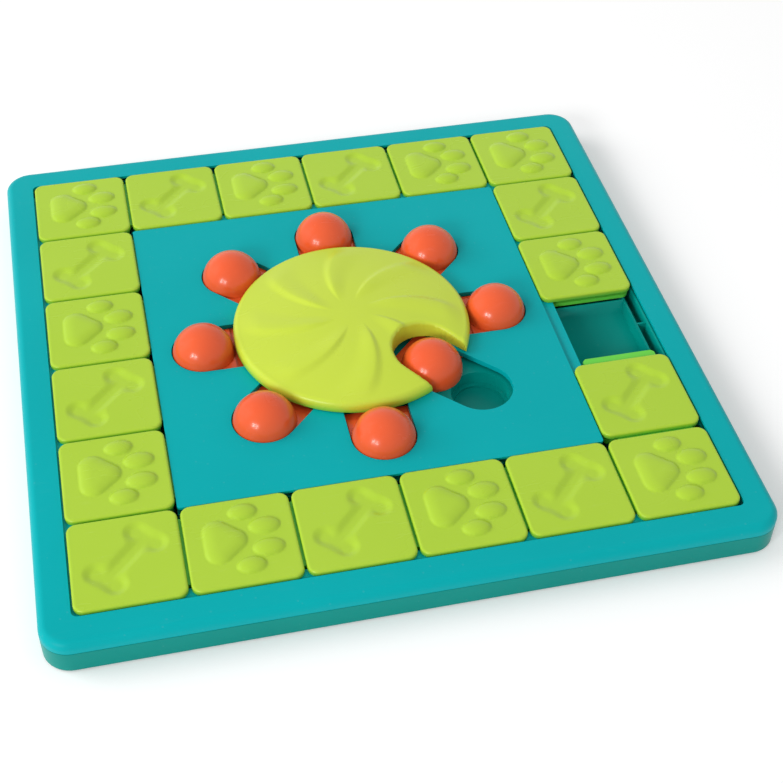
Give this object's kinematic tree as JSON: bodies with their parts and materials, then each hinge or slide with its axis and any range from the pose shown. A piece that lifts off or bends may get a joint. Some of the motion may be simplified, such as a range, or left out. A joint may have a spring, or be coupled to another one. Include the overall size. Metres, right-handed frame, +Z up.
{
  "type": "dog puzzle feeder",
  "caption": "Square treat puzzle board: a ring track of sliding tiles over treat pans, and a notched dial that lets domed sliders move off round treat cups.",
  "frame": {"origin": "on the ground under the middle of the board, at the bottom of the feet", "axes": "+Z up, +X to the right and +Y to the back of the board as the picture shows it"},
  "size_m": [0.336, 0.336, 0.0315],
  "materials": {
    "tray_teal": "glossy moulded plastic with a fine surface",
    "frame_teal": "glossy moulded plastic with a fine surface",
    "tile_green": "glossy moulded plastic with a fine surface",
    "dial_green": "glossy moulded plastic with a fine surface",
    "slider_orange": "glossy moulded plastic with a fine surface",
    "steel": "zinc plated",
    "rubber": "matt non-slip",
    "runner_green": "glossy moulded plastic with a fine surface"
  },
  "bodies": {
    "board": {"base_tray": "tray_teal", "outer_frame": "frame_teal", "centre_deck": "frame_teal", "frame_screws": "steel", "deck_screws": "steel", "rubber_feet": "rubber"},
    "dial": {"dial": "dial_green", "dial_washer": "steel", "dial_screw": "steel"},
    "slider_1": {"slider_1": "slider_orange"},
    "slider_2": {"slider_2": "slider_orange"},
    "slider_3": {"slider_3": "slider_orange"},
    "slider_4": {"slider_4": "slider_orange"},
    "slider_5": {"slider_5": "slider_orange"},
    "slider_6": {"slider_6": "slider_orange"},
    "slider_7": {"slider_7": "slider_orange"},
    "slider_8": {"slider_8": "slider_orange"},
    "tile_01": {"tile_01_cap": "tile_green", "tile_01_runner": "runner_green"},
    "tile_02": {"tile_02_cap": "tile_green", "tile_02_runner": "runner_green"},
    "tile_03": {"tile_03_cap": "tile_green", "tile_03_runner": "runner_green"},
    "tile_04": {"tile_04_cap": "tile_green", "tile_04_runner": "runner_green"},
    "tile_05": {"tile_05_cap": "tile_green", "tile_05_runner": "runner_green"},
    "tile_06": {"tile_06_cap": "tile_green", "tile_06_runner": "runner_green"},
    "tile_07": {"tile_07_cap": "tile_green", "tile_07_runner": "runner_green"},
    "tile_08": {"tile_08_cap": "tile_green", "tile_08_runner": "runner_green"},
    "tile_09": {"tile_09_cap": "tile_green", "tile_09_runner": "runner_green"},
    "tile_10": {"tile_10_cap": "tile_green", "tile_10_runner": "runner_green"},
    "tile_11": {"tile_11_cap": "tile_green", "tile_11_runner": "runner_green"},
    "tile_12": {"tile_12_cap": "tile_green", "tile_12_runner": "runner_green"},
    "tile_13": {"tile_13_cap": "tile_green", "tile_13_runner": "runner_green"},
    "tile_14": {"tile_14_cap": "tile_green", "tile_14_runner": "runner_green"},
    "tile_15": {"tile_15_cap": "tile_green", "tile_15_runner": "runner_green"},
    "tile_16": {"tile_16_cap": "tile_green", "tile_16_runner": "runner_green"},
    "tile_17": {"tile_17_cap": "tile_green", "tile_17_runner": "runner_green"},
    "tile_18": {"tile_18_cap": "tile_green", "tile_18_runner": "runner_green"},
    "tile_19": {"tile_19_cap": "tile_green", "tile_19_runner": "runner_green"}
  },
  "joints": [
    {"name": "dial_turn", "type": "hinge", "parent": "board", "child": "dial", "pos_m": [0, 0, 0.019], "axis": [0, 0, 1], "range_deg": [-2.5, 0.25]},
    {"name": "slider_1_slide", "type": "slide", "parent": "board", "child": "slider_1", "axis": [1, 0, 0], "range_m": [-0.0003, 0.0002]},
    {"name": "slider_2_slide", "type": "slide", "parent": "board", "child": "slider_2", "axis": [0.7071, 0.7071, 0], "range_m": [-0.0003, 0.0002]},
    {"name": "slider_3_slide", "type": "slide", "parent": "board", "child": "slider_3", "axis": [0, 1, 0], "range_m": [-0.0003, 0.0002]},
    {"name": "slider_4_slide", "type": "slide", "parent": "board", "child": "slider_4", "axis": [-0.7071, 0.7071, 0], "range_m": [-0.0003, 0.0002]},
    {"name": "slider_5_slide", "type": "slide", "parent": "board", "child": "slider_5", "axis": [-1, 0, 0], "range_m": [-0.0003, 0.0002]},
    {"name": "slider_6_slide", "type": "slide", "parent": "board", "child": "slider_6", "axis": [-0.7071, -0.7071, 0], "range_m": [-0.0003, 0.0002]},
    {"name": "slider_7_slide", "type": "slide", "parent": "board", "child": "slider_7", "axis": [0, -1, 0], "range_m": [-0.0003, 0.0002]},
    {"name": "slider_8_slide", "type": "slide", "parent": "board", "child": "slider_8", "axis": [0.7071, -0.7071, 0], "range_m": [-0.004, 0.0285]},
    {"name": "tile_01_slide", "type": "slide", "parent": "board", "child": "tile_01", "axis": [1, 0, 0], "range_m": [-0.0007, 0.0007]},
    {"name": "tile_02_slide", "type": "slide", "parent": "board", "child": "tile_02", "axis": [1, 0, 0], "range_m": [-0.0007, 0.0007]},
    {"name": "tile_03_slide", "type": "slide", "parent": "board", "child": "tile_03", "axis": [1, 0, 0], "range_m": [-0.0007, 0.0007]},
    {"name": "tile_04_slide", "type": "slide", "parent": "board", "child": "tile_04", "axis": [1, 0, 0], "range_m": [-0.0007, 0.0007]},
    {"name": "tile_05_slide", "type": "slide", "parent": "board", "child": "tile_05", "axis": [1, 0, 0], "range_m": [-0.0007, 0.0007]},
    {"name": "tile_06_slide", "type": "slide", "parent": "board", "child": "tile_06", "axis": [0, -1, 0], "range_m": [-0.0007, 0.0007]},
    {"name": "tile_07_slide", "type": "slide", "parent": "board", "child": "tile_07", "axis": [0, -1, 0], "range_m": [-0.0007, 0.0007]},
    {"name": "tile_08_slide", "type": "slide", "parent": "board", "child": "tile_08", "axis": [0, -1, 0], "range_m": [-0.0007, 0.0509]},
    {"name": "tile_09_slide", "type": "slide", "parent": "board", "child": "tile_09", "axis": [0, -1, 0], "range_m": [-0.0495, 0.0022]},
    {"name": "tile_10_slide", "type": "slide", "parent": "board", "child": "tile_10", "axis": [-1, 0, 0], "range_m": [-0.0007, 0.0007]},
    {"name": "tile_11_slide", "type": "slide", "parent": "board", "child": "tile_11", "axis": [-1, 0, 0], "range_m": [-0.0007, 0.0007]},
    {"name": "tile_12_slide", "type": "slide", "parent": "board", "child": "tile_12", "axis": [-1, 0, 0], "range_m": [-0.0007, 0.0007]},
    {"name": "tile_13_slide", "type": "slide", "parent": "board", "child": "tile_13", "axis": [-1, 0, 0], "range_m": [-0.0007, 0.0007]},
    {"name": "tile_14_slide", "type": "slide", "parent": "board", "child": "tile_14", "axis": [-1, 0, 0], "range_m": [-0.0007, 0.0007]},
    {"name": "tile_15_slide", "type": "slide", "parent": "board", "child": "tile_15", "axis": [0, 1, 0], "range_m": [-0.0007, 0.0007]},
    {"name": "tile_16_slide", "type": "slide", "parent": "board", "child": "tile_16", "axis": [0, 1, 0], "range_m": [-0.0007, 0.0007]},
    {"name": "tile_17_slide", "type": "slide", "parent": "board", "child": "tile_17", "axis": [0, 1, 0], "range_m": [-0.0007, 0.0007]},
    {"name": "tile_18_slide", "type": "slide", "parent": "board", "child": "tile_18", "axis": [0, 1, 0], "range_m": [-0.0007, 0.0007]},
    {"name": "tile_19_slide", "type": "slide", "parent": "board", "child": "tile_19", "axis": [0, 1, 0], "range_m": [-0.0007, 0.0007]}
  ]
}
